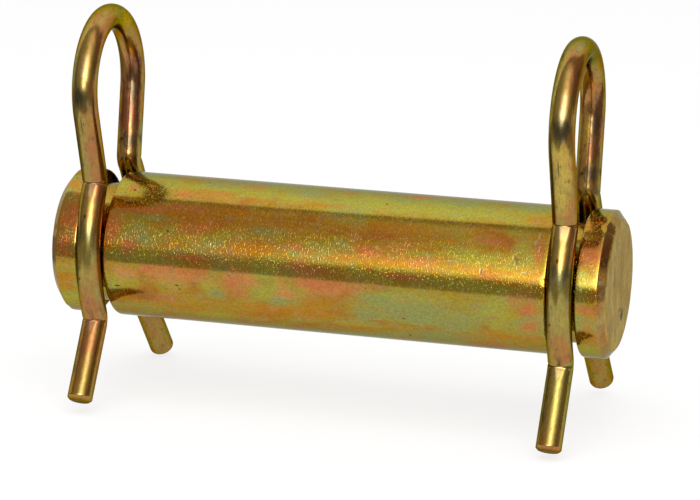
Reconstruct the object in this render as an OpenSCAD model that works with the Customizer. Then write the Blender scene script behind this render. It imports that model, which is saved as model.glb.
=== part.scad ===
// Hydraulic cylinder pin: a turned steel pin with two round grooves, and a sprung wire clip in each.
// +X runs along the pin, +Z points up through the clips' loops, and the origin is the pin's centre.

/* [Pin] */
// Diameter of the pin
pin_d = 25.4; // [16:0.1:40]
// Length of the pin from end to end
pin_len = 98.5; // [60:0.5:240]
// Size of the bevel at each end, measured both along and across the pin
pin_bevel = 1.2; // [0.4:0.1:3]
// Distance from each end of the pin to the middle of its clip groove
groove_inset = 7.55; // [6:0.05:20]
// Depth of each clip groove, from the pin's surface to its floor
groove_depth = 2.3; // [1:0.1:4]

/* [Clip wire] */
// Diameter of the clip wire
wire_d = 4.4; // [3:0.1:6]
// Radius on the inside of each of the four sharp bends
bend_inside = 0.5; // [0.2:0.1:2]
// How much thicker the wire is where it was bent, on each side
bend_swell = 0.02; // [0.02:0.01:0.1]
// Clearance between the wire and each side wall of its groove
side_gap = 0.2; // [0.1:0.05:1]
// Clearance between the wire and the floor of its groove
floor_gap = 0.15; // [0.05:0.05:0.3]

/* [Clip shape] */
// Radius of the finger loop, to the middle of the wire
loop_r = 11.8; // [9:0.1:16]
// Height of the loop's centre above the necks
loop_rise = 15.6; // [14:0.1:30]
// Height of the necks, where the legs meet the loop, above the top of the pin
neck_rise = 0.3; // [0:0.1:4]
// How much larger the radius of each bowed leg is than its distance from the pin's axis
bow_extra = 11.25; // [6:0.05:30]
// How far the middle of each bow lies below the pin's axis
bow_drop = 1; // [0:0.1:3]
// Height of the heels, where the feet turn outwards, above the underside of the pin
heel_rise = 1.7; // [0:0.1:3]
// Angle that each foot spreads from straight down
foot_flare = 37; // [20:1:50]
// Length of the near foot from its heel
near_foot = 15.2; // [12:0.1:24]
// Length of the far foot from its heel
far_foot = 19.2; // [12:0.1:24]

/* [How the clips sit] */
// Turn of the left clip about the pin, away from both feet standing level
left_turn = -1.9; // [-8:0.1:8]
// Turn of the right clip about the pin, away from both feet standing level
right_turn = 1.1; // [-8:0.1:8]
// Slant of the left clip in its groove, towards the pin's end
left_slant = 1; // [0:0.1:1]

/* [Hidden] */
$fn = 48;

pin_r = pin_d / 2;
wire_r = wire_d / 2;
bend_r = wire_r + bend_inside;
groove_x = pin_len / 2 - groove_inset;
groove_r = pin_r - groove_depth;
groove_w = wire_d + 2 * side_gap;
plated_pin = "#b7a052";
plated_wire = "#a98d3c";

// The clip is laid out in its own plane as points [across, up], for the leg on the + side.
// Each bowed leg is an arc that comes nearest to the pin's axis at grip_r.
grip_r = groove_r + floor_gap + wire_r;
bow_r = grip_r + bow_extra;
bow_centre = [-sqrt(bow_extra ^ 2 - bow_drop ^ 2), -bow_drop];
function bow_point(up) = [bow_centre.x + sqrt(bow_r ^ 2 - (up - bow_centre.y) ^ 2), up];
neck = bow_point(pin_r + neck_rise);
heel = bow_point(heel_rise - pin_r);
loop_centre = [0, neck.y + loop_rise];

function unit(v) = v / norm(v);
function left_of(v) = [-v.y, v.x];
function angle_of(v) = atan2(v.y, v.x);

// The straight above the neck touches the loop's circle where the radius stands square to it.
to_neck = neck - loop_centre;
touch_angle = angle_of(to_neck) + acos(loop_r / norm(to_neck));
loop_touch = loop_centre + loop_r * [cos(touch_angle), sin(touch_angle)];
leg_way = unit(neck - loop_touch);
foot_way = [sin(foot_flare), -cos(foot_flare)];

// Centre of a bend on the left of the line from p along way, which also touches the bow from outside.
// side is -1 where the line runs into the bow and 1 where it leaves it.
function bend_centre(p, way, side) =
    let (
        w = p + bend_r * left_of(way) - bow_centre,
        along = w * way,
        rest = w * w - (bow_r + bend_r) ^ 2
    )
    p + bend_r * left_of(way) + (side * sqrt(along ^ 2 - rest) - along) * way;
neck_bend = bend_centre(neck, leg_way, -1);
heel_bend = bend_centre(heel, foot_way, 1);
neck_start = neck_bend - bend_r * left_of(leg_way);
heel_end = heel_bend - bend_r * left_of(foot_way);
bow_top = angle_of(neck_bend - bow_centre);
bow_bottom = angle_of(heel_bend - bow_centre);

// With one foot longer than the other, the clip leans until the lowest edge of both is level.
function foot_edge(foot) = heel + foot * foot_way - wire_r * left_of(foot_way);
near_edge = foot_edge(near_foot);
far_edge = foot_edge(far_foot);
level_lean = atan2(near_edge.y - far_edge.y, near_edge.x + far_edge.x);

// The plain lengths of wire run this far into the thicker bends at their ends.
lap = 0.2;
bow_lap = lap / bow_r * 180 / PI;

// A length of wire from point p to point q, in the clip's plane.
module straight_wire(p, q) {
    translate([p.x, p.y, 0])
        rotate([0, 90, angle_of(q - p)])
            cylinder(r = wire_r, h = norm(q - p));
}

// A length of wire round a centre, from angle a anticlockwise to angle b.
module curved_wire(centre, r, a, b, thick = wire_r) {
    translate([centre.x, centre.y, 0])
        rotate([0, 0, a])
            rotate_extrude(angle = b - a)
                translate([r, 0])
                    circle(r = thick);
}

// The same where the wire was bent, so that it is a little thicker.
module bend(centre, r, a, b) {
    curved_wire(centre, r, a, b, wire_r + bend_swell);
}

// One leg below the loop: straight, neck, bow, heel and foot.
module leg(foot) {
    straight_wire(loop_touch - lap * leg_way, neck_start + lap * leg_way);
    bend(neck_bend, bend_r, angle_of(neck_start - neck_bend), 180 + bow_top);
    curved_wire(bow_centre, bow_r, bow_bottom - bow_lap, bow_top + bow_lap);
    bend(heel_bend, bend_r, 180 + bow_bottom, angle_of(heel_end - heel_bend) + 360);
    straight_wire(heel_end - lap * foot_way, heel + foot * foot_way);
}

// The whole clip, standing across the pin with its loop up and its near foot towards -Y.
module clip() {
    rotate([90, 0, 90]) {
        bend(loop_centre, loop_r, touch_angle, 180 - touch_angle);
        leg(far_foot);
        mirror([1, 0, 0])
            leg(near_foot);
    }
}

// Half the pin's outline, turned about its axis.
module pin() {
    half = pin_len / 2;
    near_wall = groove_x - groove_w / 2;
    far_wall = groove_x + groove_w / 2;
    right_half = [
        [groove_r, near_wall],
        [groove_r, far_wall],
        [pin_r, far_wall],
        [pin_r, half - pin_bevel],
        [pin_r - pin_bevel, half],
        [0, half]
    ];
    left_half = [for (i = [len(right_half) - 1:-1:0]) [right_half[i].x, -right_half[i].y]];
    color(plated_pin)
        rotate([0, 90, 0])
            rotate_extrude()
                polygon(concat(left_half, [[pin_r, -near_wall], [pin_r, near_wall]], right_half));
}

module clip_left() {
    color(plated_wire)
        translate([-groove_x, 0, 0])
            rotate([level_lean + left_turn, -left_slant, 0])
                clip();
}

module clip_right() {
    color(plated_wire)
        translate([groove_x, 0, 0])
            rotate([level_lean + right_turn, 0, 0])
                clip();
}

pin();
clip_left();
clip_right();
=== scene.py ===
# %% [markdown]
# # A hydraulic cylinder pin and its two wire clips
#
# The real object is a short steel bar, one inch thick, that joins a hydraulic cylinder to a machine.
# A round groove near each end takes a sprung wire clip, which stops the bar from sliding out.
# Everything is zinc plated and then dipped in a yellow chromate bath, which leaves gold, olive and
# rose tints that drift over the metal.
#
# The construction model already has every piece at its right size, and it comes in first as a fixed frame.
# Each of its three solids is then made again as a fine surface, because worn edges, pinched bends and
# cropped wire ends are too small for the construction model and yet they catch the light.

# %% The frame and the tools
import bpy
import numpy as np
from mathutils import Matrix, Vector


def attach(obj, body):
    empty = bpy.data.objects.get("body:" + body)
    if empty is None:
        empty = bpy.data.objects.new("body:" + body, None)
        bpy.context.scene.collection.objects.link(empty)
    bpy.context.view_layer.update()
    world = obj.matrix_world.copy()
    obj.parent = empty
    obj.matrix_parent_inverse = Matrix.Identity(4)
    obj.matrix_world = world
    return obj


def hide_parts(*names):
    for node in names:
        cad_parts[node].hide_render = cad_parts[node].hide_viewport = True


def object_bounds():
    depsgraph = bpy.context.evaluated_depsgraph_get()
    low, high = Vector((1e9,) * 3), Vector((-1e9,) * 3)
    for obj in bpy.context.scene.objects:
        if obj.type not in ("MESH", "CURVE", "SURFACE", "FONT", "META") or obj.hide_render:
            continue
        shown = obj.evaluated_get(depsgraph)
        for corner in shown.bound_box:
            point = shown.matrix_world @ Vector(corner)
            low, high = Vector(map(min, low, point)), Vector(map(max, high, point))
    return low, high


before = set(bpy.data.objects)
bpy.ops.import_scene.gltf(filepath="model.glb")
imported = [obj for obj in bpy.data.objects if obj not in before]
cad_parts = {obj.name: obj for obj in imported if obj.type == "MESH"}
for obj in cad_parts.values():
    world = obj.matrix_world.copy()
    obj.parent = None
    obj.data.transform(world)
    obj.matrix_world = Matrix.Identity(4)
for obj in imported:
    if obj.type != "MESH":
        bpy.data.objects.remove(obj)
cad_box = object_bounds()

scene = bpy.context.scene
mm = 0.001
print("box of the construction model, mm:", [[round(c / mm, 2) for c in corner] for corner in cad_box])

# %% [markdown]
# ## The camera
#
# The camera stands a little to the right of the pin's middle and a little above it, so that the right
# end face just shows. A long lens from half a metre away keeps the two clips nearly the same size.
# The camera's place is worked out from two angles and a distance.

# %% Camera
def turned(azimuth, elevation):
    """The direction from the object towards an azimuth, counted from -Y towards +X, and an elevation."""
    a, e = np.radians([azimuth, elevation])
    return np.array([np.sin(a) * np.cos(e), -np.cos(a) * np.cos(e), np.sin(e)])


def look(azimuth, elevation, distance, target, roll=0.0):
    """A matrix that stands distance away from the target and looks at it, rolled about its own view."""
    back = turned(azimuth, elevation)
    right = np.array([-back[1], back[0], 0.0]) / np.hypot(back[0], back[1])
    up = np.cross(back, right)
    c, s = np.cos(np.radians(roll)), np.sin(np.radians(roll))
    axes = np.column_stack([c * right + s * up, c * up - s * right, back])
    matrix = np.eye(4)
    matrix[:3, :3] = axes
    matrix[:3, 3] = np.array(target) + distance * back
    return Matrix(matrix.tolist())


middle = np.array([1.656, 0.0, 2.091]) * mm
azimuth, elevation, distance, roll = 16.32, 13.58, 550.1 * mm, 0.966
camera = bpy.data.objects.new("camera", bpy.data.cameras.new("camera"))
camera.data.sensor_width = 36
camera.data.lens = 163.46
camera.data.clip_start = 0.01
camera.matrix_world = look(azimuth, elevation, distance, middle, roll)
scene.collection.objects.link(camera)
scene.camera = camera
scene.view_settings.view_transform = "Standard"
print("camera stands at, mm:", [round(c / mm) for c in camera.matrix_world.translation])

# %% [markdown]
# ## Skins of closed rings
#
# A turned bar and a bent wire are the same kind of thing: a row of closed rings along a line. The bar's
# rings differ in size and the wire's rings differ in direction. So one helper makes both into meshes.
# It closes each end with a single point, so that the mesh is a solid with no hole. The sign of its volume
# shows whether the faces point outwards.

# %% Mesh helper
def new_piece(name, points, faces):
    """A mesh of its own in the scene."""
    mesh = bpy.data.meshes.new(name)
    mesh.from_pydata(points, [], faces)
    piece = bpy.data.objects.new(name, mesh)
    scene.collection.objects.link(piece)
    return piece


def skin(name, rings, first_tip, last_tip):
    """Joins rings[i, j], point j of ring i, into one closed mesh.

    Points (i, j), (i, j + 1), (i + 1, j + 1) and (i + 1, j) make a face, where the point after a ring's
    last one is its first one. A fan of triangles joins each end ring to its tip.
    """
    n, m = rings.shape[:2]
    points = np.concatenate([rings.reshape(-1, 3), [first_tip, last_tip]])
    i, j = np.meshgrid(np.arange(n - 1), np.arange(m), indexing="ij")
    after = (j + 1) % m
    quads = np.stack([i * m + j, i * m + after, (i + 1) * m + after, (i + 1) * m + j], -1).reshape(-1, 4)
    j = np.arange(m)
    after = (j + 1) % m
    first = np.stack([np.full(m, n * m), after, j], -1)
    last = np.stack([np.full(m, n * m + 1), (n - 1) * m + j, (n - 1) * m + after], -1)
    corners = np.concatenate([quads[:, [0, 1, 2]], quads[:, [0, 2, 3]], first, last])
    a, b, c = points[corners].transpose(1, 0, 2)
    volume = np.einsum("ij,ij->i", a, np.cross(b, c)).sum() / 6
    faces = [quads, first, last]
    if volume < 0:
        faces = [f[:, ::-1] for f in faces]
    piece = new_piece(name, points.tolist(), [f for group in faces for f in group.tolist()])
    piece.data.shade_smooth()
    print(f"{name}: {len(corners)} triangles, {abs(volume) / mm**3:.0f} mm3")
    return piece


def note(piece, name, values):
    """Keeps one number or one vector for each point of a mesh, for its material to read."""
    values = np.asarray(values, dtype=np.float32)
    kind = ("FLOAT", "value") if values.ndim == 1 else ("FLOAT_VECTOR", "vector")
    layer = piece.data.attributes.new(name, kind[0], "POINT")
    layer.data.foreach_set(kind[1], values.ravel())


# %% [markdown]
# ## The outline of the pin
#
# The bar was turned on a lathe, so its surface is a profile spun about one axis. The profile runs from the
# middle of the left end, over the bevel, down into the groove and out again, along the bar, and back
# through the same steps on the right. No edge of a real turned and plated part is knife sharp. Each corner
# gets a small round, and its size is what makes a bevel shine as a thin line.

# %% Pin profile
pin_r, pin_half = 12.7, 49.25
bevel, bevel_rise = 1.25, 1.6
groove_x, groove_w, groove_r = 41.7, 4.8, 10.4
last_ring_r = 0.25  # inside this radius, a tip closes the end face
profile_step = 0.42


def rounded(corners, rounds, step):
    """A line through corners [along, out], each one cut by an arc of its own radius.

    An arc of radius r in a corner that turns by angle t starts r * tan(t / 2) before the corner.
    Straight parts get a point every step.
    """
    corners = np.array(corners, float)
    line = [corners[:1]]
    for p, q, s, r in zip(corners[:-2], corners[1:-1], corners[2:], rounds):
        u, v = (q - p) / np.linalg.norm(q - p), (s - q) / np.linalg.norm(s - q)
        turn = np.arctan2(u[0] * v[1] - u[1] * v[0], u @ v)
        cut = r * np.tan(abs(turn) / 2)
        t = np.linspace(0, turn, 6)[:, None]
        side = np.sign(turn) * np.array([-u[1], u[0]])
        line.append(q - cut * u + r * np.sin(abs(t)) * u + r * (1 - np.cos(t)) * side)
    line.append(corners[-1:])
    full = [line[0]]
    for arc in line[1:]:
        start, end = full[-1][-1], arc[0]
        count = max(int(np.linalg.norm(end - start) / step), 1)
        between = start + (end - start) * np.linspace(0, 1, count + 1)[1:-1, None]
        full += [between, arc]
    return np.concatenate(full)


near_wall, far_wall = groove_x - groove_w / 2, groove_x + groove_w / 2
right_side = [
    [near_wall, pin_r],
    [near_wall, groove_r],
    [far_wall, groove_r],
    [far_wall, pin_r],
    [pin_half - bevel, pin_r],
    [pin_half, pin_r - bevel_rise],
    [pin_half, last_ring_r],
]
left_side = [[-x, r] for x, r in right_side[::-1]]
corner_rounds = [0.3, 0.35, 0.4, 0.3, 0.3, 0.4, 0.4, 0.3, 0.3, 0.4, 0.35, 0.3]
profile = rounded(left_side + right_side, corner_rounds, profile_step)
print("points along the pin's profile:", len(profile))

# %% [markdown]
# ## The skin of the pin
#
# The finished bar isn't perfect. The end faces were sawn off and dip slightly in the middle, the bevel is
# uneven in three slow waves round the bar, and the corners carry small dings from handling. Each of these
# is a smooth dip that is taken off the radius or the length, so nothing stands outside the bar's true size.

# %% Pin surface
def dips(x, angle, places):
    """The sum of round dips. Each place is [along, angle in degrees, size, depth], and its dip falls off as
    depth * exp(-(distance / size) ** 2), where distance is measured on the unrolled bar."""
    total = np.zeros(np.broadcast(x, angle).shape)
    for px, pa, size, depth in places:
        around = pin_r * np.radians((np.degrees(angle) - pa + 180) % 360 - 180)
        total += depth * np.exp(-((x - px) ** 2 + around**2) / size**2)
    return total


rim_dings = [[48.3, 62, 0.9, 0.16], [48.2, -24, 0.7, 0.12], [48.4, 118, 1.1, 0.2], [44.2, 30, 0.6, 0.1],
    [39.2, 12, 0.5, 0.1], [-39.3, 45, 0.6, 0.1], [-48.3, 20, 1.0, 0.16], [-48.3, -60, 0.8, 0.14],
    [-44.2, 75, 0.6, 0.1], [48.3, 200, 1.2, 0.16], [-48.3, 160, 1.1, 0.15], [33.5, 27, 0.5, 0.05]]
wave_height, wave_from, wave_fade = 0.04, 47.6, 0.8
dish_depth, dish_r = 0.06, 11.5
deepest = 0.3  # of the radius
columns = 272
around = np.radians(np.linspace(-90, 270, columns, endpoint=False))[None, :]
x, r = profile[:, :1], profile[:, 1:]
waves = wave_height * (1 + np.sin(3 * around + 0.7)) * np.clip((abs(x) - wave_from) / wave_fade, 0, 1)
r_worn = r - np.minimum(dips(x, around, rim_dings) + waves, deepest * r)
dish = dish_depth * (1 - (r_worn / dish_r) ** 2).clip(0, 1) * (abs(x) > pin_half - 0.02)
x_worn = x - np.sign(x) * dish
pin_rings = np.stack([x_worn + 0 * around, -r_worn * np.cos(around), r_worn * np.sin(around)], -1) * mm
tip = (pin_half - dish_depth) * mm
pin = skin("pin_turned", pin_rings, [-tip, 0, 0], [tip, 0, 0])
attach(pin, "pin")
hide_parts("pin")

# %% [markdown]
# ## The path of a clip
#
# One wire is bent into a finger loop with two legs. Each leg has a straight, a sharp bend inwards at the
# neck, a bow that hugs the groove, another sharp bend at the heel and a foot that spreads outwards. The
# path is made of arcs and straights in the clip's own plane, [across, up], with its origin on the axis of
# the pin. It is laid out once for the + side. The other leg is its mirror image with a shorter foot.

# %% Clip path
wire_r = 2.2
loop_r, loop_centre = 11.8, np.array([0.0, 28.6])
bend_r = 2.7
bow_r, bow_centre = 24.0, np.array([-11.2055, -1.0])
neck, heel = np.array([8.29, 13.0]), np.array([10.62, -11.0])
near_foot, far_foot = 15.2, 19.2
foot_spread = np.radians(37)
curve_step, bend_step = 0.4, 0.14


def unit(v):
    return v / np.linalg.norm(v)


def angle_of(v):
    return np.degrees(np.arctan2(v[1], v[0]))


def bend_centre(p, way, side):
    """The middle of a bend that touches the line from p along way, and touches the bow from outside."""
    left = np.array([-way[1], way[0]])
    w = p + bend_r * left - bow_centre
    along, rest = w @ way, w @ w - (bow_r + bend_r) ** 2
    return p + bend_r * left + (side * np.sqrt(along**2 - rest) - along) * way


to_neck = neck - loop_centre
touch = angle_of(to_neck) + np.degrees(np.arccos(loop_r / np.linalg.norm(to_neck)))
loop_touch = loop_centre + loop_r * np.array([np.cos(np.radians(touch)), np.sin(np.radians(touch))])
leg_way = unit(neck - loop_touch)
foot_way = np.array([np.sin(foot_spread), -np.cos(foot_spread)])
neck_bend, heel_bend = bend_centre(neck, leg_way, -1), bend_centre(heel, foot_way, 1)
neck_start = neck_bend - bend_r * np.array([-leg_way[1], leg_way[0]])
heel_end = heel_bend - bend_r * np.array([-foot_way[1], foot_way[0]])
print("neck bend", neck_bend.round(3), "heel bend", heel_bend.round(3), "loop leaves at", round(touch, 2))


def arc(centre, radius, start, end, step):
    """Points on a circle between two angles in degrees."""
    count = max(int(abs(np.radians(end - start)) * radius / step), 10)
    a = np.radians(np.linspace(start, end, count + 1))
    return centre + radius * np.stack([np.cos(a), np.sin(a)], -1)


def half_path(foot):
    """One side of a clip, from the top of its loop to the end of its foot: a row of arcs and straights."""
    bow_top, bow_bottom = angle_of(neck_bend - bow_centre), angle_of(heel_bend - bow_centre)
    neck_from = angle_of(neck_start - neck_bend)
    heel_to = angle_of(heel_end - heel_bend) % 360
    parts = [
        arc(loop_centre, loop_r, 90, touch, curve_step),
        np.linspace(loop_touch, neck_start, 36),
        arc(neck_bend, bend_r, neck_from, 180 + bow_top, bend_step),
        arc(bow_centre, bow_r, bow_top, bow_bottom, curve_step),
        arc(heel_bend, bend_r, 180 + bow_bottom, heel_to, bend_step),
        np.linspace(heel_end, heel + foot * foot_way, 44),
    ]
    return np.concatenate([parts[0]] + [p[1:] for p in parts[1:]])


def clip_path():
    """The whole wire from the near foot's end, which is towards -Y, round the loop to the far foot's end."""
    near = half_path(near_foot) * [-1, 1]
    return np.concatenate([near[::-1], half_path(far_foot)[1:]])


path = clip_path()
print("length of wire in a clip, mm:", round(np.linalg.norm(np.diff(path, axis=0), axis=1).sum(), 1))

# %% [markdown]
# ## The skin of a clip
#
# A ring of the wire stands square to the path at each of its points. The press that made the sharp bends
# pinched the wire on the inside of each bend: a thin crease runs across it there, and just below the
# crease a flat facet, as wide as the wire, narrows down to nothing over a few millimetres. The ends were
# cropped, so they are flat with a slight round. The ring's radius is lowered at these places, and only
# lowered, so that the clip keeps clear of its groove as the construction model does. The left clip was
# pressed less hard: its marks are shallower, and its creases are wider.

# %% Clip surface
def smooth(t):
    """Rises from 0 to 1 as t does, as 3 t ** 2 - 2 t ** 3, and holds both ends."""
    t = np.clip(t, 0, 1)
    return t * t * (3 - 2 * t)


facet_turn = np.radians(9)  # how far the press struck off the middle, towards the pin's right end
cropped_round = 0.35
ring_points = 72


def lengths(path):
    """How far along a path each of its points lies."""
    return np.concatenate([[0], np.cumsum(np.linalg.norm(np.diff(path, axis=0), axis=1))])


def wire_skin(name, path, creases, facets, place):
    """Carries a ring along a path in the clip's plane.

    With n the direction square to the path in the plane and b the one square to the plane, point phi of
    a ring is path + r * (cos(phi) * n + sin(phi) * b), where r is the wire's radius less its pinches.

    Phi is 0 on the side that faces away from the clip's middle, which is the hollow side of each sharp
    bend, and it grows towards the pin's right end. A crease [at, depth, width] lowers r on that side by
    depth * exp(-((s - at) / width) ** 2), where s is the length along the wire. A facet [at, towards,
    reach, depth] cuts the ring by a plane that starts depth below the surface and comes out after reach.
    """
    way = np.gradient(path, axis=0)
    way /= np.linalg.norm(way, axis=1)[:, None]
    length = lengths(path)
    # the near leg runs up and the far leg runs down, so the left of the way faces away from the middle
    outer = np.stack([-way[:, 1], way[:, 0]], -1)
    phi = np.radians(np.arange(0, 360, 360 / ring_points))[None, :]
    s = length[:, None]
    cut = np.zeros((len(path), phi.shape[1]))
    for at, depth, width in creases:
        across = smooth((np.cos(phi) + 0.15) / 0.7)
        cut += depth * across * np.exp(-(((s - at) / width) ** 2))
    for at, towards, reach, depth in facets:
        t = (s - at) * towards
        down = depth * (1 - t / reach).clip(0, 1) * smooth((t + 0.3) / 0.5)
        facing = np.cos(phi - facet_turn)
        flat = wire_r - (wire_r - down) / facing.clip(0.3, 1)
        cut = np.maximum(cut, np.where(facing > 0.3, flat, 0).clip(0, None))
    r = wire_r - cut
    from_end = np.minimum(s, length[-1] - s).clip(0, cropped_round)
    r = r - cropped_round * (1 - np.sqrt(1 - (1 - from_end / cropped_round) ** 2)) * 0.9
    flat_rings = path[:, None, :] + (r * np.cos(phi))[..., None] * outer[:, None, :]
    rings = np.stack([r * np.sin(phi), flat_rings[..., 0], flat_rings[..., 1]], -1)
    tips = [np.array([0, *path[0]]), np.array([0, *path[-1]])]
    lay = lambda p: (p @ place[:3, :3].T + place[:3, 3]) * mm
    piece = skin(name, lay(rings), lay(tips[0]), lay(tips[1]))
    unbent = np.stack([s + 0 * phi, wire_r * np.cos(phi) + 0 * s, wire_r * np.sin(phi) + 0 * s], -1)
    ends = [[0, 0, 0], [length[-1], 0, 0]]
    note(piece, "unbent", np.concatenate([unbent.reshape(-1, 3), ends]))
    return piece, length


def rotation(axis, degrees):
    """A matrix that turns by degrees about an axis."""
    return np.array(Matrix.Rotation(np.radians(degrees), 4, axis))


def moved(x):
    """A matrix that moves by x along the pin."""
    place = np.eye(4)
    place[0, 3] = x
    return place


def station(path, point):
    """How far along the wire the path passes closest to a point."""
    return lengths(path)[np.argmin(np.linalg.norm(path - point, axis=1))]


near_heel, near_neck = station(path, heel * [-1, 1]), station(path, neck * [-1, 1])
far_neck, far_heel = station(path, neck), station(path, heel)
print("stations of the bends, mm:", [round(float(v), 1) for v in (near_heel, near_neck, far_neck, far_heel)])

# %% [markdown]
# ## The two clips
#
# Both clips are the same wire. They lean alike because one foot is longer than the other and both feet stand
# on a level floor, and then each is turned a little differently in its groove. The left one also slants.

# %% Clips
level_lean = 4.754
left_turn, right_turn, left_slant = -1.9, 1.1, -1.0
left_place = moved(-groove_x) @ rotation("Y", left_slant) @ rotation("X", level_lean + left_turn)
right_place = moved(groove_x) @ rotation("X", level_lean + right_turn)
near_crease, far_crease = (0.26, 0.26), (0.22, 0.3)  # depth and width of a crease pressed in fully
facet_depth, heel_reach, neck_reach = 0.24, 3.6, 4.0
clips = {}
for side, place, press in (("left", left_place, 0.6), ("right", right_place, 1.0)):
    creases = [[at, near_crease[0] * press, near_crease[1] / press] for at in (near_heel, near_neck)]
    creases += [[at, far_crease[0] * press, far_crease[1] / press] for at in (far_neck, far_heel)]
    facets = [[near_heel, -1, heel_reach, facet_depth * press], [near_neck, -1, neck_reach, facet_depth * press],
              [far_neck, 1, neck_reach, facet_depth * press], [far_heel, 1, heel_reach, facet_depth * press]]
    clip, wire_length = wire_skin(f"clip_{side}_wire", path, creases, facets, place)
    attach(clip, f"clip_{side}")
    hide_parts(f"clip_{side}")
    clips[side] = clip

# %% [markdown]
# ## Building a finish from nodes
#
# A finish is a small network of nodes. Short helpers keep it readable: they add a node, do sums, turn a
# colour as it looks on screen into light amounts, blend colours, spread a value over a new range, and make
# noise of a given size in millimetres.

# %% Node helpers
def colour(text):
    """A screen colour such as "b08a30" as the light amounts that a shader wants."""
    c = np.array([int(text[i:i + 2], 16) for i in (0, 2, 4)]) / 255
    c = np.where(c <= 0.04045, c / 12.92, ((c + 0.055) / 1.055) ** 2.4)
    return (*c, 1.0)


def add(tree, kind, named=(), out=0, **settings):
    """Adds a node. Inputs go in by name or number: a socket is joined, and anything else becomes the value."""
    node = tree.nodes.new("ShaderNode" + kind)
    for key, value in settings.items():
        setattr(node, key, value)
    for key, value in dict(named).items():
        if isinstance(value, bpy.types.NodeSocket):
            tree.links.new(value, node.inputs[key])
        else:
            node.inputs[key].default_value = value
    return node.outputs[out]


def maths(tree, operation, a, b=0.0):
    """One sum on a and b, such as ADD or MULTIPLY."""
    return add(tree, "Math", {0: a, 1: b}, operation=operation)


def times(tree, a, b):
    return maths(tree, "MULTIPLY", a, b)


def spread(tree, value, low, high, to_low=0.0, to_high=1.0):
    """Maps low..high smoothly onto to_low..to_high and holds the ends."""
    named = {0: value, 1: low, 2: high, 3: to_low, 4: to_high}
    return add(tree, "MapRange", named, interpolation_type="SMOOTHSTEP")


def blend(tree, share, a, b, way="MIX"):
    """Lays colour b over colour a, as strongly as share says."""
    return add(tree, "Mix", {0: share, 6: a, 7: b}, out=2, data_type="RGBA", blend_type=way)


def cloud(tree, place, size, detail=3.0, roughness=0.5, stretch=(1, 1, 1), shift=(0, 0, 0), distort=0.0):
    """Soft noise whose blotches are about size mm across, stretched along the axes."""
    scale = tuple(1.0 / (size * s) for s in stretch)
    spot = add(tree, "Mapping", {"Vector": place, "Location": shift, "Scale": scale})
    named = {"Vector": spot, "Scale": 1.0, "Detail": detail, "Roughness": roughness, "Distortion": distort}
    return add(tree, "TexNoise", named)


def shades(tree, value, stops):
    """A colour ramp: pairs of place and screen colour."""
    node = tree.nodes.new("ShaderNodeValToRGB")
    ramp = node.color_ramp
    while len(ramp.elements) < len(stops):
        ramp.elements.new(0.5)
    for element, (at, text) in zip(ramp.elements, stops):
        element.position, element.color = at, colour(text)
    tree.links.new(value, node.inputs[0])
    return node.outputs[0]


def new_finish(name, **fixed):
    """A material with one Principled shader, whose plain numbers sit on the shader's own sockets."""
    material = bpy.data.materials.new(name)
    material.use_nodes = True
    tree = material.node_tree
    shader = tree.nodes["Principled BSDF"]
    for key, value in fixed.items():
        shader.inputs[key.replace("_", " ")].default_value = value
    return material, tree, shader


# %% [markdown]
# ## Where the tints lie
#
# The chromate film is thinner or thicker from place to place, and its hue follows: rose, orange, gold,
# yellow-green, then a pale grey-green. The drifts are a centimetre or so long, and noise alone would put
# them in chance places. So they are laid down first as soft patches, one kind for each colour, and the
# materials then fray their edges with noise. Scratches down to the grey zinc and dark pits come the same way,
# and so do the painted shade and painted highlights on the wires.

# %% Tint patches
def patches(along, angle, radius, places):
    """The strongest of several soft patches on an unrolled bar or wire of the given radius.

    Each patch is [along, angle in degrees, half length, half width] in mm, and is exp(-(u ** 2 + v ** 2)),
    where u and v are the distances along and around, over its half length and half width."""
    total = np.zeros(np.broadcast(along, angle).shape)
    for at, at_angle, long, wide in places:
        v = radius * np.radians((np.degrees(angle) - at_angle + 180) % 360 - 180) / wide
        total = np.maximum(total, np.exp(-(((along - at) / long) ** 2) - v**2))
    return total


def scratches(along, angle, radius, lines):
    """The strongest of several thin marks, each a line [from, from angle, to, to angle, half width].

    A mark is exp(-(d / width) ** 2), where d is the distance to the nearest point of the line."""
    total = np.zeros(np.broadcast(along, angle).shape)
    for a0, b0, a1, b1, width in lines:
        across = radius * np.radians((np.degrees(angle) - b0 + 180) % 360 - 180)
        p = np.stack(np.broadcast_arrays(along - a0, across), -1)
        way = np.array([a1 - a0, radius * np.radians(b1 - b0)])
        share = (p @ way / (way @ way)).clip(0, 1)[..., None]
        total = np.maximum(total, np.exp(-((p - share * way) ** 2).sum(-1) / width**2))
    return total


def lay_tints(piece, along, angle, radius, tints, bare_and_painted_highlight, pits):
    """Keeps every kind of patch on the mesh. Each of the two tips takes the mean of the ring next to it."""
    fields = {name: patches(along, angle, radius, places) for name, places in tints.items()}
    fields["bare_and_painted_highlight"] = scratches(along, angle, radius, bare_and_painted_highlight)
    fields["pit"] = patches(along, angle, radius, pits)
    for name, field in fields.items():
        note(piece, name, np.concatenate([field.ravel(), [field[0].mean(), field[-1].mean()]]))
    shares = {name: f"{100 * (field > 0.5).mean():.1f} %" for name, field in fields.items()}
    print(f"{piece.name} is covered by", shares)


print("a patch at its rim has a strength of", patches(1.0, 0.0, 1.0, [[0, 0, 1, 1]]).round(2))

# %% [markdown]
# ## Tints in a material
#
# A material reads each kind of patch from the mesh, frays its edge with a noise and lays its colour on.

# %% Reading tints
def attribute(tree, name):
    """One number that the mesh carries for each of its points."""
    return add(tree, "Attribute", out=2, attribute_name=name)


def frayed(tree, name, fray, low, high, strength):
    """A tint's patch with its edge broken up by a noise."""
    worn = maths(tree, "SUBTRACT", fray, 0.5)
    worn = maths(tree, "ADD", attribute(tree, name), times(tree, worn, 3.0))
    return spread(tree, worn, low, high, 0.0, strength)


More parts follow.
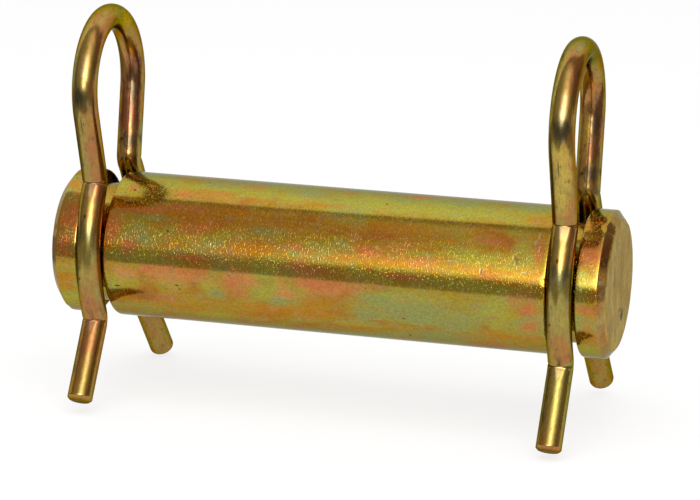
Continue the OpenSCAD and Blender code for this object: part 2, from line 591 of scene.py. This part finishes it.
def tint_and_shade(tree, base, fray, tints):
    """Lays tints and painted shade over a base colour, one over the other. Each is [name, low, high, strength,
    colour].
    """
    for name, low, high, strength, tint in tints:
        base = blend(tree, frayed(tree, name, fray, low, high, strength), base, colour(tint))
    return base


# %% [markdown]
# ## The tints on the pin
#
# Places are millimetres along the pin from its middle, and degrees round it: 0 faces the camera's side, 90
# is the top, and the numbers go on over the back. The front and the top have the most patches.

# %% Pin tints
pin_tints = {
    "peach": [[-27, -8, 6, 1.7], [-14, -8, 4, 1.7], [0, -8, 6.5, 1.7], [-35, -10, 2.6, 1.4], [-6, -16, 3, 1.2]],
    "rose": [[-25, -4, 4.5, 1.1], [-21, -3, 2.2, 0.7], [-31, -6, 2, 1.2], [-15.5, -10, 2.2, 1.6],
        [-14.5, -20, 2, 1.2], [-28, -31, 2.6, 1.2], [0, -6, 6, 1.3], [36.5, -12, 2.2, 1.8], [36.8, -27, 1.6, 1.4],
        [30, -52, 4, 1], [-24, 6, 4.5, 0.8], [-1, 5, 5, 1], [14, 6, 4, 0.7], [-34.5, 12, 2, 1.6], [-38, 26, 2, 2.6],
        [-23, 30, 3, 1.6], [-26, 47, 6, 1], [-34, 42, 5, 0.8], [-5, 22, 3, 0.8], [9, 24, 5, 1.2], [18, 20, 4, 1.1],
        [28, 40, 5, 0.7], [37.5, 32, 0.8, 3], [-26, 60, 2.5, 0.8], [-14, 79, 2, 1], [14, 85, 2, 1], [-36, 64, 1, 1],
        [46, 36, 1.8, 2], [46, -8, 1.6, 1], [-46, 32, 3, 3.4], [-46.5, 8, 2, 1.6], [24, 140, 9, 3], [-12, 200, 8, 4],
        [-34, 150, 6, 3], [30, 230, 10, 3]],
    "orange": [[8, 17, 13, 1.3], [-12, 17, 8, 1.4], [-27, 15, 4, 1.2], [-6, -33, 10, 1.8], [-24, 40, 8, 2],
        [-12, 36, 8, 1.4], [-14, -42, 6, 1.4], [-24, -40, 6, 1.4], [-11, -32, 5, 1.4], [6, -48, 5, 1.2],
        [-1, -22, 4, 1.6], [31, -40, 6, 1.2], [37, -38, 1.6, 1], [-36, -34, 3, 1.2], [-22, 64, 6, 1.2],
        [-14, 60, 2, 0.7], [-1, 61, 4, 0.7], [2, 85, 2, 1.4], [35.5, 64, 2.5, 1], [13, 44, 10, 1.4], [-16, 46, 8, 1],
        [14, 15, 8, 0.8], [24, 36, 4, 0.8], [-37, 50, 4, 0.8], [46.5, -30, 2.5, 2], [-46.5, -24, 2, 2.2],
        [46, 62, 2.5, 1.6], [-46.6, 62, 2.4, 1.6], [-2, 120, 14, 4], [28, 265, 16, 4], [-25, 250, 14, 4],
        [6, 170, 6, 3]],
    "lime": [[-18, -46, 9, 1.6], [6, -42, 5, 1.4], [-20, 70, 16, 2.6], [16, 70, 26, 3], [-36, -18, 4, 2],
        [-27, -15, 3, 1.4], [-9, -14, 4, 2.6], [-20, -16, 2, 1.2], [14, -11, 8, 0.9], [31, -20, 3, 4],
        [-10, 4, 4, 1.3], [9, 5, 4.4, 1.3], [27, 4, 9, 1.2], [-33, 4, 4, 1.0], [-11, -3, 4, 0.8], [22, 66, 14, 2],
        [27, 26, 6, 1.6], [34.5, 36, 2, 1.8], [12, 13, 4, 0.5], [-22, 22, 2, 1], [-38, 68, 2, 1.6], [-17, 64, 3, 0.9],
        [-7, 68, 5, 2], [10, 64, 8, 1.4], [25, 68, 9, 2.2], [-32, 76, 6, 2], [46.5, -50, 2.6, 3],
        [-46.5, -44, 2.4, 3], [45.5, 80, 2, 2], [38, 180, 6, 5], [10, 215, 9, 4]],
    "jade": [[17, -24, 8, 3], [10, -14, 4, 1.4], [24, -30, 6, 3.2], [20, -48, 5, 2], [8, -30, 3, 2],
        [-18.5, -22, 1.6, 1.1], [-7.5, -24, 2, 1], [-10, 31, 3.4, 1.2], [3.5, 27, 1.4, 0.8], [-31, 36, 4, 0.7],
        [-32, 17, 2, 0.8], [-22, 80, 3, 1.8], [12.5, 77, 3.6, 1.1], [33, 82, 5, 1.8], [-4, 76, 6, 1.6],
        [22, 80, 8, 1.6], [-34, 88, 5, 1.6], [5, 90, 14, 1.2], [-14, 86, 9, 1.4], [32, 90, 8, 1.4], [-5, 150, 9, 4],
        [-36, 225, 7, 4], [20, 120, 8, 3]],
}
pin_bare = [[-8.5, -20, -5.2, -20.5, 0.17], [-5.4, -18.5, -4.8, -22, 0.12], [-27.2, -33, -26.8, -24, 0.15],
    [-1.4, 16, -1.1, 11, 0.1], [-0.4, 16, 0.1, 11, 0.1], [9.6, 19, 9.7, 13.5, 0.1], [28, 17, 28.2, 9, 0.14],
    [33.3, 30, 34.1, 21, 0.19], [35.2, 17.5, 36.2, 17, 0.15], [37.2, 50, 37.6, 34, 0.19], [36.6, 45, 37, 38, 0.15],
    [-1, -50, 3, -39, 0.09], [3, -39, 8, -34, 0.09], [8, -34, 12, -32, 0.09], [5.7, 31, 6, 26, 0.1],
    [-4.8, -36, -4.2, -45, 0.19], [22.2, 21, 23.4, 21.6, 0.09], [-19.6, 19, -19.3, 12, 0.12],
    [39, -22, 39.2, -16, 0.12], [-28.5, 140, -22, 150, 0.12], [12, 200, 20, 190, 0.12], [44.5, 120, 46.8, 128, 0.12]]
pin_pits = [[-25.3, -20.5, 0.35, 0.3], [-25.8, -17, 0.5, 0.25], [14.6, -29.5, 0.4, 0.25], [15, -51, 0.3, 0.4],
    [-27.8, 26, 0.4, 0.3], [-35.6, 60.5, 0.35, 0.25], [-23.2, 80, 0.3, 0.35], [9.5, 68.8, 0.3, 0.25],
    [-5, -21, 0.25, 0.3], [39.6, -32, 0.3, 0.2], [46, -32, 0.3, 0.3], [-36.8, -22.5, 0.7, 0.15],
    [27, 53.5, 0.25, 0.2], [36.5, 78, 0.35, 0.2], [18, 150, 0.4, 0.3]]
lay_tints(pin, x, around, pin_r, pin_tints, pin_bare, pin_pits)

# %% [markdown]
# ## The nicks in the right end face
#
# A mark on an end face is placed by how far across and how high it is. Each nick is a soft oval.

# %% End face nicks
face_nicks = [[2.9, -5.8, 0.9, 1.1, 1.0], [1.2, -4.6, 1.0, 0.3, 0.8], [-1.5, 7.5, 1.2, 0.3, 0.5],
              [-4, 1, 1.0, 2.5, 0.4]]
y, z = -r_worn * np.cos(around), r_worn * np.sin(around)
nicks = sum(share * np.exp(-(((y - at_y) / wide) ** 2) - ((z - at_z) / high) ** 2)
            for at_y, at_z, wide, high, share in face_nicks)
note(pin, "nick", np.concatenate([(nicks * (x > pin_half - 0.2)).ravel(), [0, 0]]))
print("nicks in the end face:", len(face_nicks))

# %% [markdown]
# ## The plated and turned finish of the pin
#
# This is a metal whose reflections are tinted by the film, so the film's colour goes into the base colour:
# a slow drift between golds, then the patches. The edge of the bevel is coppery. The sawn end faces are
# duller, paler and streaked straight down. How far a point lies along the bar is the mask for both. A thin
# haze, specks, bare marks and pits come last, and a trace of white stands for the film's own clear gloss.

# %% Pin colour
clear_gloss, bare_pit = "eae6e6", "3a3018"
face_from, face_to = 49.02, 49.12
bevel_from, bevel_to = 47.9, 48.2
material, tree, shader = new_finish("yellow_zinc_turned", Metallic=1.0, Specular_Tint=(0.6, 0.62, 0.55, 1))
place = add(tree, "TexCoord", out=3)
place = add(tree, "VectorMath", {0: place, 3: 1000.0}, operation="SCALE")
from_middle = maths(tree, "ABSOLUTE", add(tree, "SeparateXYZ", {0: place}))
face = spread(tree, from_middle, face_from, face_to)

fray = cloud(tree, place, 1.5, detail=8, roughness=0.68, stretch=(1.6, 1, 1), distort=0.3)
wander = cloud(tree, place, 3.4, detail=3, roughness=0.5, stretch=(1.4, 1, 1), shift=(0, 7, 2), distort=0.8)
fray = maths(tree, "ADD", times(tree, fray, 0.55), times(tree, wander, 0.45))
drift = cloud(tree, place, 6.0, detail=7, roughness=0.62, stretch=(2.0, 1, 1), shift=(3, 1, 0), distort=0.6)
speck = cloud(tree, place, 0.4, detail=4, roughness=0.75, stretch=(1.2, 1, 1))
base = shades(tree, drift, [(0.36, "ac6a24"), (0.43, "ae7e1c"), (0.49, "aa8a1e"), (0.55, "a69630"), (0.62, "9c9a4c")])
base = tint_and_shade(tree, base, fray, [("lime", 0.0, 0.95, 0.9, "aaa436"), ("orange", 0.0, 1.05, 0.85, "bc7c12"),
                                ("peach", 0.0, 1.0, 0.9, "cc8a46"), ("jade", 0.0, 1.15, 0.9, "929a54"),
                                ("rose", 0.0, 1.2, 0.9, "c8743e")])
sawn = cloud(tree, place, 2.5, detail=6, roughness=0.7, stretch=(1, 1, 2.5))
sawn = shades(tree, sawn, [(0.34, "a8842e"), (0.48, "be983a"), (0.6, "ccb05a")])
edge = spread(tree, from_middle, bevel_from, bevel_to, 0.0, 0.65)
base = blend(tree, edge, base, shades(tree, fray, [(0.38, "a0603a"), (0.5, "a87448"), (0.6, "a89468")]))
base = blend(tree, face, base, sawn)
smear = cloud(tree, place, 0.9, detail=6, roughness=0.7, stretch=(1, 1, 1.8), shift=(2, 2, 2))
base = blend(tree, times(tree, face, spread(tree, smear, 0.5, 0.66, 0.0, 0.5)), base, colour("80642c"))
nick = times(tree, attribute(tree, "nick"), spread(tree, smear, 0.4, 0.55, 0.5, 1.0))
base = blend(tree, spread(tree, nick, 0.1, 0.6), base, colour("2c2410"))
haze = cloud(tree, place, 1.1, detail=7, roughness=0.75, stretch=(2, 1, 1), shift=(8, 0, 4), distort=0.4)
base = blend(tree, spread(tree, haze, 0.48, 0.66, 0.0, 0.4), base, colour("9a8a5e"))
fine = spread(tree, speck, 0.3, 0.7, 0.82, 1.16)
fine = add(tree, "CombineColor", {0: fine, 1: fine, 2: fine})
base = blend(tree, 1.0, base, fine, way="MULTIPLY")

bare_and_painted_highlight = spread(tree, attribute(tree, "bare_and_painted_highlight"), 0.25, 0.8)
worn = cloud(tree, place, 0.7, detail=6, roughness=0.8, stretch=(1.5, 1, 1), shift=(5, 2, 9))
bare_and_painted_highlight = maths(tree, "MAXIMUM", bare_and_painted_highlight, spread(tree, worn, 0.68, 0.74, 0.0, 0.7))
base = blend(tree, times(tree, bare_and_painted_highlight, 0.6), base, colour("aca084"))
base = blend(tree, 0.015, base, colour(clear_gloss))
pits = spread(tree, add(tree, "TexVoronoi", {"Vector": place, "Scale": 0.3}), 0.03, 0.06, 0.7, 0.0)
pits = maths(tree, "MAXIMUM", pits, spread(tree, attribute(tree, "pit"), 0.3, 0.8))
base = blend(tree, times(tree, pits, 0.8), base, colour(bare_pit))
tree.links.new(base, shader.inputs["Base Color"])
print("pin colour:", len(tree.nodes), "nodes")

# %% [markdown]
# ## The grain of the pin
#
# The turned skin is smooth enough to mirror an edge as a crisp line, and yet it sparkles: the tool left a
# fine grain that runs round the bar, and only its steepest flanks are bright. So the roughness stays low,
# and the bump is a noise cut off below its peaks, which leaves a thin scatter of steep grains, with a soft
# ripple under it. The sawn faces have streaks straight down and are rougher.

# %% Pin grain
grit = cloud(tree, place, 0.2, detail=2, roughness=0.5, stretch=(1, 2.4, 2.4))
grit = spread(tree, grit, 0.57, 0.72)
ripple = cloud(tree, place, 1.0, detail=4, roughness=0.6, stretch=(1, 2, 2))
streaks = cloud(tree, place, 0.5, detail=4, roughness=0.6, stretch=(1, 1, 8))
height = maths(tree, "ADD", times(tree, grit, 0.62), times(tree, ripple, 0.45))
height = maths(tree, "SUBTRACT", height, pits)
height = maths(tree, "SUBTRACT", height, times(tree, bare_and_painted_highlight, 0.6))
height = maths(tree, "ADD", height, times(tree, face, times(tree, streaks, 3.0)))
grain = add(tree, "Bump", {"Strength": 1.0, "Distance": 0.023 * mm, "Height": height})
tree.links.new(grain, shader.inputs["Normal"])
rough = spread(tree, fray, 0.3, 0.7, 0.10, 0.15)
tree.links.new(add(tree, "Mix", {0: face, 2: rough, 3: 0.42}), shader.inputs["Roughness"])
pin.data.materials.append(material)
print("pin finish:", len(tree.nodes), "nodes")

# %% [markdown]
# ## The tints on the wires
#
# On a wire the patches are placed by how far they lie from the top of the loop, minus on the near leg and
# plus on the far one, and by the angle round the wire, where 0 faces away from the clip's middle and the
# numbers grow towards the pin's right end. The left clip is pinker and browner, and the right one is more
# olive and yellow. Three darker kinds are painted shade: a brown one and a near black one on the inner side
# of the far legs, an olive one along the left flank of the near legs and the left edge of each loop, and
# spots of the olive and the near black one just below the highlights of the near legs. A pale streak on each
# near loop is a painted highlight, and a pale line beside each bend is partly zinc rubbed bare by the press
# and partly a painted highlight on the flat facet there.

# %% Wire tints
left_tints = {
    "rose": [[-75.3, 20, 0.9, 6], [-27, 30, 4, 1.4], [-34, 45, 5, 2.0], [-55.5, 10, 2, 2.2], [-60, 30, 4, 1.2],
        [-63, 0, 6, 2.2], [16, 165, 3.2, 2.2], [28, 165, 3, 1.6], [-8, 60, 3, 1.4], [52, 180, 5, 3], [14, 0, 8, 3]],
    "orange": [[-62, 80, 7, 1.4], [-44, 70, 12, 1.2], [-20, 60, 6, 1.2], [6, 180, 3, 2], [24, 180, 8, 3],
        [40, 20, 9, 3]],
    "lime": [[-48, -20, 5, 2.6], [-27, -45, 6, 1.6], [-65, -70, 8, 1.6], [-12, -70, 9, 1.6], [-37, -75, 7, 1.4],
        [-1, -20, 3, 2], [46, 180, 5, 2.5], [60, 90, 5, 2]],
    "jade": [[-43, -60, 2, 1.6], [-14, -50, 2, 1.6], [-50, -60, 3, 1], [30, 60, 4, 2]],
    # Painted shade: brown patches darken the inner side of the far leg.
    "painted_shade_brown": [[20, 150, 6, 1.4], [26, 175, 6, 3]],
    # Painted shade: near black patches darken the far leg's inner side and a spot just below the near loop's
    # highlight.
    "painted_shade_dark": [[21.5, 157, 3.2, 1.2], [31, 165, 1.6, 2], [-17.8, -12, 1.3, 1.2]],
    "gold": [[4, 100, 3, 2]],
    # Painted shade: olive patches darken the near leg's left flank, the loop's left edge and spots just below its
    # highlights.
    "painted_shade_olive": [[-18.2, 5, 1.8, 2.4], [-43.8, -20, 1.8, 2.6], [-26, -55, 6, 1.1], [-50, -60, 5, 1], [-65, -65, 8, 1.3],
        [-8, -65, 7, 1.1]],
}
right_tints = {
    "rose": [[-75.2, 0, 1.4, 7], [-31.8, 20, 0.8, 1.6], [-57.3, 40, 1.2, 1.4], [-29, -30, 1.4, 1.2], [-9, 50, 3, 1.4],
        [26, 180, 2.4, 2], [10, 60, 6, 2]],
    "orange": [[-30, 40, 1.8, 1.6], [-55, 30, 2.6, 2.2], [-20, 50, 5, 1.6], [-5.5, 30, 2, 1.4], [-36, 80, 6, 1.2],
        [15.5, 170, 3, 2.4], [20, 180, 9, 2.6], [50, 180, 5, 3], [30, 0, 8, 3]],
    "lime": [[-25, 0, 4, 2.4], [-49, 0, 5, 3], [-64, 0, 8, 3], [-66, -50, 8, 1.8], [-66, 60, 8, 1.6],
        [-12, -60, 8, 1.8], [-37, -70, 7, 1.6], [16, 100, 8, 1.6], [60, 180, 4, 2], [45, 0, 7, 3]],
    "jade": [[-1, -20, 3.4, 3.2], [5, 150, 4, 3], [-43.5, 0, 1.6, 2.4], [-22, -60, 4, 1], [0, 120, 6, 2],
        [36, 60, 4, 2]],
    # Painted shade: brown patches darken the inner side of the far leg.
    "painted_shade_brown": [[21, 140, 5, 1.4], [27, 160, 4, 1.6]],
    # Painted shade: near black patches darken the far leg's inner side and a spot just below the near loop's
    # highlight.
    "painted_shade_dark": [[22, 155, 3, 1.0], [30.8, 165, 1.6, 2.4], [-16.5, 10, 1.4, 1.7]],
    "gold": [[25, 190, 5, 1.3], [-20.5, 10, 3, 2.4], [-28, -15, 4, 2.2], [-24, 20, 4, 1.6]],
    # Painted shade: olive patches darken the near leg's left flank, the loop's left edge and spots just below its
    # highlights.
    "painted_shade_olive": [[-16.8, 10, 2.0, 2.3], [-42.5, 10, 1, 2.6], [-25, -52, 7, 1.2], [-49, -55, 7, 1.1], [-66, -62, 8, 1.3],
        [-7, -60, 7, 1.1]],
}
wire_pits = [[-22.5, -5, 2.2, 0.14], [-40.8, -8, 0.5, 0.3], [-51, -30, 0.3, 0.3], [31, 200, 0.4, 0.4],
             [-22, 5, 0.2, 0.2]]
# One scratch, and a painted highlight streak on each near loop that whitens the lamp's reflection there.
wire_scratch_and_painted_highlight = [[-34, 60, -38, 66, 0.15], [-12.2, 8, -14.4, 8, 0.8]]
top = wire_length[-1] - station(path[::-1], [0.0, loop_centre[1] + loop_r])
# Beside each bend, a pale line that is partly zinc rubbed bare by the press and partly a painted highlight on the
# flat facet.
pressed_bare_and_painted_highlight = [[at - top + way * 0.4, 0, at - top + way * 2.0, 0, 1.3]
           for at, way in ((near_heel, -1), (near_neck, -1), (far_neck, 1), (far_heel, 1))]
from_top = wire_length[:, None] - top
round_wire = np.radians(np.arange(0, 360, 360 / ring_points))[None, :]
for side, tints in (("left", left_tints), ("right", right_tints)):
    lay_tints(clips[side], from_top, round_wire, wire_r, tints, wire_scratch_and_painted_highlight + pressed_bare_and_painted_highlight, wire_pits)

# %% [markdown]
# ## The plated finish of the wire
#
# Drawn wire is smoother than a turned bar, so its highlights are sharper and its grain runs along it. The
# tints run along it too. A pattern in the object's own space would cut straight across the bends, so the
# mesh carries the place that each point had before the wire was bent, and the noises read that instead.

# %% Wire finish
material, tree, shader = new_finish("yellow_zinc_drawn", Metallic=1.0, Specular_Tint=(0.38, 0.35, 0.2, 1))
unbent = add(tree, "Attribute", out=1, attribute_name="unbent")
drift = cloud(tree, unbent, 3.0, detail=5, roughness=0.6, stretch=(3, 1, 1), distort=0.6)
fray = cloud(tree, unbent, 0.9, detail=6, roughness=0.68, stretch=(3, 1, 1))
base = shades(tree, drift, [(0.34, "a8702e"), (0.43, "a67a2c"), (0.50, "a68430"), (0.57, "a08a36"), (0.66, "94904c")])
# The last three tints laid here are painted shade: brown, olive and near black patches.
base = tint_and_shade(tree, base, fray, [("lime", 0.2, 0.8, 0.8, "a4963a"), ("orange", 0.2, 0.8, 0.8, "b4742a"),
                                ("jade", 0.2, 0.8, 0.8, "8e8e5c"), ("rose", 0.2, 0.8, 0.8, "b06a30"),
                                ("gold", 0.1, 0.9, 0.85, "c8aa3c"), ("painted_shade_brown", 0.1, 0.9, 0.9, "80461c"),
                                ("painted_shade_olive", 0.0, 1.0, 0.85, "6a622c"), ("painted_shade_dark", 0.1, 1.0, 0.85, "403816")])
speck = cloud(tree, unbent, 0.35, detail=5, roughness=0.75, stretch=(2.5, 1, 1))
fine = spread(tree, speck, 0.3, 0.7, 0.8, 1.16)
fine = add(tree, "CombineColor", {0: fine, 1: fine, 2: fine})
base = blend(tree, 1.0, base, fine, way="MULTIPLY")
# Pale marks: bare zinc, and on the near loops and beside the bends partly a painted highlight.
bare_and_painted_highlight = spread(tree, attribute(tree, "bare_and_painted_highlight"), 0.25, 0.8)
base = blend(tree, times(tree, bare_and_painted_highlight, 0.3), base, colour("c4a880"))
base = blend(tree, 0.05, base, colour(clear_gloss))
pits = spread(tree, attribute(tree, "pit"), 0.3, 0.8)
base = blend(tree, times(tree, pits, 0.8), base, colour(bare_pit))
tree.links.new(base, shader.inputs["Base Color"])

die_lines = cloud(tree, unbent, 0.22, detail=3, roughness=0.6, stretch=(14, 1, 1))
dents = cloud(tree, unbent, 0.7, detail=4, roughness=0.65, stretch=(1.5, 1, 1))
height = maths(tree, "ADD", times(tree, die_lines, 0.3), times(tree, dents, 0.8))
height = maths(tree, "SUBTRACT", height, pits)
grain = add(tree, "Bump", {"Strength": 1.0, "Distance": 0.014 * mm, "Height": height})
tree.links.new(grain, shader.inputs["Normal"])
rough = spread(tree, fray, 0.3, 0.7, 0.15, 0.23)
tree.links.new(rough, shader.inputs["Roughness"])
for clip in clips.values():
    clip.data.materials.append(material)
print("wire finish:", len(tree.nodes), "nodes")

# %% [markdown]
# ## The floor
#
# The object stands on a white sheet that is wide enough to fill the view. To the camera and in reflections
# it is part paper, which takes the shadows, and part glow, which makes it white. To all other light it is
# plain pale paper.

# %% Floor
def empty_material(name):
    """A material with no nodes yet."""
    material = bpy.data.materials.new(name)
    material.use_nodes = True
    material.node_tree.nodes.clear()
    return material, material.node_tree


def finish_surface(tree, surface):
    """Joins a shader to a new output of its tree."""
    tree.links.new(surface, tree.nodes.new("ShaderNodeOutputMaterial").inputs["Surface"])


floor_z = cad_box[0][2] - 0.02 * mm
floor_half, glow_share = 2.0, 0.62
material, tree = empty_material("white_sheet")
rays = tree.nodes.new("ShaderNodeLightPath")
mirrored = maths(tree, "MAXIMUM", rays.outputs["Is Glossy Ray"], rays.outputs["Is Transmission Ray"])
seen = maths(tree, "MAXIMUM", rays.outputs["Is Camera Ray"], mirrored)
to_camera = times(tree, rays.outputs["Is Camera Ray"], 1.2)
strength = maths(tree, "ADD", to_camera, times(tree, mirrored, 0.95))
paper = add(tree, "BsdfDiffuse", {"Color": (0.86, 0.86, 0.86, 1)})
shine = add(tree, "Emission", {"Color": (1, 1, 1, 1), "Strength": strength})
finish_surface(tree, add(tree, "MixShader", {0: times(tree, seen, glow_share), 1: paper, 2: shine}))
corners = floor_half * np.array([[-1, -1, 0], [1, -1, 0], [1, 1, 0], [-1, 1, 0]]) + [0, 0, floor_z]
floor = new_piece("white_floor", corners.tolist(), [(0, 1, 2, 3)])
floor.data.materials.append(material)
print("floor lies at, mm:", round(floor_z / mm, 2))

# %% [markdown]
# ## What the metal reflects
#
# Polished metal shows its surroundings. In a small studio the metal sees white paper below, dark mats lying
# past the paper's edges, a white sheet hung close behind and above, a dim and slightly warm room in front
# and at the sides, and one soft white lamp. The sheet, the mats and the room are cards that are seen only
# in reflections, so they neither shade the floor nor show in any view.
#
# A direction is written as two angles. Rise turns from straight ahead, over the top, to straight behind,
# and lean turns from the middle towards the pin's right end. The lamp has a bright core and a softer
# surround that fades with the angle from it, which gives each highlight a pale middle and a tan edge.

# %% Cards
def card(name, points, tone):
    """A sheet through a grid of points that shines with its own tone, seen only in reflections.

    tone is how bright the sheet is at each point, as red, green and blue, where 1 is white paper."""
    n, m = points.shape[:2]
    i, j = np.meshgrid(np.arange(n - 1), np.arange(m - 1), indexing="ij")
    quads = np.stack([i * m + j, i * m + j + 1, (i + 1) * m + j + 1, (i + 1) * m + j], -1).reshape(-1, 4)
    piece = new_piece(name, points.reshape(-1, 3).tolist(), quads.tolist())
    note(piece, "tone", np.broadcast_to(tone, points.shape).reshape(-1, 3))
    material, tree = empty_material(name + "_tone")
    finish_surface(tree, add(tree, "Emission", {"Color": add(tree, "Attribute", out=1, attribute_name="tone")}))
    piece.data.materials.append(material)
    piece.visible_camera = piece.visible_diffuse = piece.visible_shadow = False
    piece.visible_transmission = piece.visible_volume_scatter = False
    print(f"{name}: tone from {np.min(tone):.2f} to {np.max(tone):.2f}")


def steps(t, pairs):
    """Straight lines through pairs of [place, level]."""
    pairs = np.array(pairs, float)
    return np.interp(t, pairs[:, 0], pairs[:, 1])


def direction(rise, lean):
    """Points one unit away, where x = sin(lean), y = -cos(lean) cos(rise) and z = cos(lean) sin(rise)."""
    e, a = np.radians(rise), np.radians(lean)
    return np.stack([np.sin(a) + 0 * e, -np.cos(a) * np.cos(e), np.cos(a) * np.sin(e)], -1)


print("a direction with rise 90 and lean 0 is", direction(90, 0).round(3))

# %% [markdown]
# ## The dim room and its lamp
#
# The room is one large curved card, darker overhead, behind and at its sides, but pale past the ends of the
# sheet. The lamp is a tall soft patch on it that leans to the right, most of all halfway up. Its lower edge
# is crisp in the middle and softer at the sides, and upwards it fades out.

# %% Room card
room_size, room_tint = 0.69, np.array([1, 0.84, 0.64])
lamp_glow, lamp_core, core_width = 3.35, 4.5, 13
rise = np.linspace(-4, 177, 363)[:, None]
lean = np.linspace(-88, 88, 177)[None, :]
dim = steps(rise, [[-4, 0.4], [5, 0.42], [16, 0.43], [42, 0.44], [66, 0.39], [84, 0.39], [93, 0.34], [104, 0.28],
                   [177, 0.26]])
dim = dim * steps(abs(lean), [[0, 1], [45, 1], [70, 0.6], [88, 0.45]])
far_side = steps(lean, [[-70, 1], [-60, 0], [77, 0], [84, 0.8]])
dim = dim + far_side * steps(rise, [[72, 0], [90, 0.6], [100, 0.75], [177, 0.7]])
lamp_lean = steps(rise, [[0, 8], [12, 10], [20, 13], [28, 16], [44, 20], [58, 17], [80, 14]])
off = lean - lamp_lean
lower_edge = ((rise - 3.2) / (3 + 13 * (off / 26) ** 2)).clip(0, 1)
lamp_level = lower_edge * steps(rise, [[20, 1], [30, 0.8], [46, 0.72], [53, 0.45], [64, 0.36], [84, 0.3],
                                       [90, 0.1], [94, 0]])
core_level = lower_edge * steps(rise, [[4, 0], [8, 0.9], [12, 1], [22, 0.8], [32, 0.35], [46, 0.3], [54, 0.1],
                                       [60, 0]])
core = core_level * np.exp(-((off / core_width) ** 2))
spill = steps(abs(off), [[0, 1], [9, 0.86], [18, 0.52], [24, 0.335], [26, 0.32], [29, 0.23], [32, 0.14],
                         [36, 0.08], [45, 0.03], [60, 0]])
glow = lamp_glow * lamp_level * spill + lamp_core * core
card("studio_room", room_size * direction(rise, lean), dim[..., None] * room_tint + glow[..., None] * np.ones(3))

# %% [markdown]
# ## The white sheet and the mats
#
# The sheet hangs behind the object and comes forward over it. Its front edge is the crisp line along the
# top of the pin, and it bends back towards the right. The mats lie flat past the paper's edges, and the
# lower flanks of the metal mirror them.

# %% Sheet and mats
sheet_size, sheet_left, sheet_right, sheet_end = 0.2, -1.2, 0.18, 177
mat_lift, mat_tone = 0.3 * mm, np.array([0.36, 0.32, 0.27])
x_back = np.linspace(sheet_left, sheet_right, 139)[:, None]
front_edge = steps(x_back / mm, [[-200, 87], [-150, 89], [-100, 91], [-50, 93.5], [0, 97], [50, 101],
                                 [100, 106], [130, 111], [150, 118], [165, 128], [175, 150], [180, 176]])
rise = front_edge + (sheet_end - front_edge) * np.linspace(0, 1, 60)[None, :]
e = np.radians(rise)
bright = steps(rise, [[90, 1.2], [110, 1.15], [125, 1.05], [140, 1.0], [sheet_end, 0.85]])
sheet = np.stack([x_back + 0 * e, -sheet_size * np.cos(e), sheet_size * np.sin(e)], -1)
card("sheet_behind", sheet, bright[..., None] * np.ones(3))

mats = {"mat_front": [[(-1000, -92), (30, -92), (75, -190), (1000, -220)],
                      [(-1000, -1000), (30, -1000), (75, -1000), (1000, -1000)]],
        "mat_left": [[(-1000, -92), (-115, -92)], [(-1000, 130), (-115, 130)]],
        "mat_right": [[(150, -205), (1000, -220)], [(150, 130), (1000, 130)]]}
for name, corners in mats.items():
    corners = np.array(corners) * mm
    height = np.full((*corners.shape[:2], 1), floor_z + mat_lift)
    card(name, np.concatenate([corners, height], -1), mat_tone)

# %% [markdown]
# ## Lamps and sky
#
# One large soft lamp overhead lights the floor and gives a soft shadow. It isn't mirrored in the metal,
# because the cards already are what the metal sees. The sky is plain white wherever the camera or a
# reflection looks at it, and a gentler grey where it only lights things.

# %% Lamps
def soft_box(name, azimuth, elevation, distance, width, height, strength):
    """A soft box that looks at the pin. Its surface is strength times as bright as white paper in full light."""
    lamp = bpy.data.lights.new(name, "AREA")
    lamp.shape = "RECTANGLE"
    lamp.size, lamp.size_y = width, height
    lamp.energy = strength * np.pi * width * height
    lamp_object = bpy.data.objects.new(name, lamp)
    lamp_object.matrix_world = look(azimuth, elevation, distance, (0, 0, 0))
    lamp_object.visible_camera = lamp_object.visible_glossy = False
    scene.collection.objects.link(lamp_object)
    print(f"{name}: {width} by {height} m at {distance} m")


soft_box("overhead_softbox", azimuth=10, elevation=62, distance=0.8, width=0.9, height=0.7, strength=1.5)

world = bpy.data.worlds.new("white_room")
scene.world = world
world.use_nodes = True
tree = world.node_tree
sky = tree.nodes["Background"]
rays = tree.nodes.new("ShaderNodeLightPath")
seen = maths(tree, "MAXIMUM", rays.outputs["Is Camera Ray"], rays.outputs["Is Glossy Ray"])
seen = maths(tree, "MAXIMUM", seen, rays.outputs["Is Transmission Ray"])
tree.links.new(spread(tree, seen, 0.0, 1.0, 0.6, 1.0), sky.inputs["Strength"])
sky.inputs["Color"].default_value = (1, 1, 1, 1)
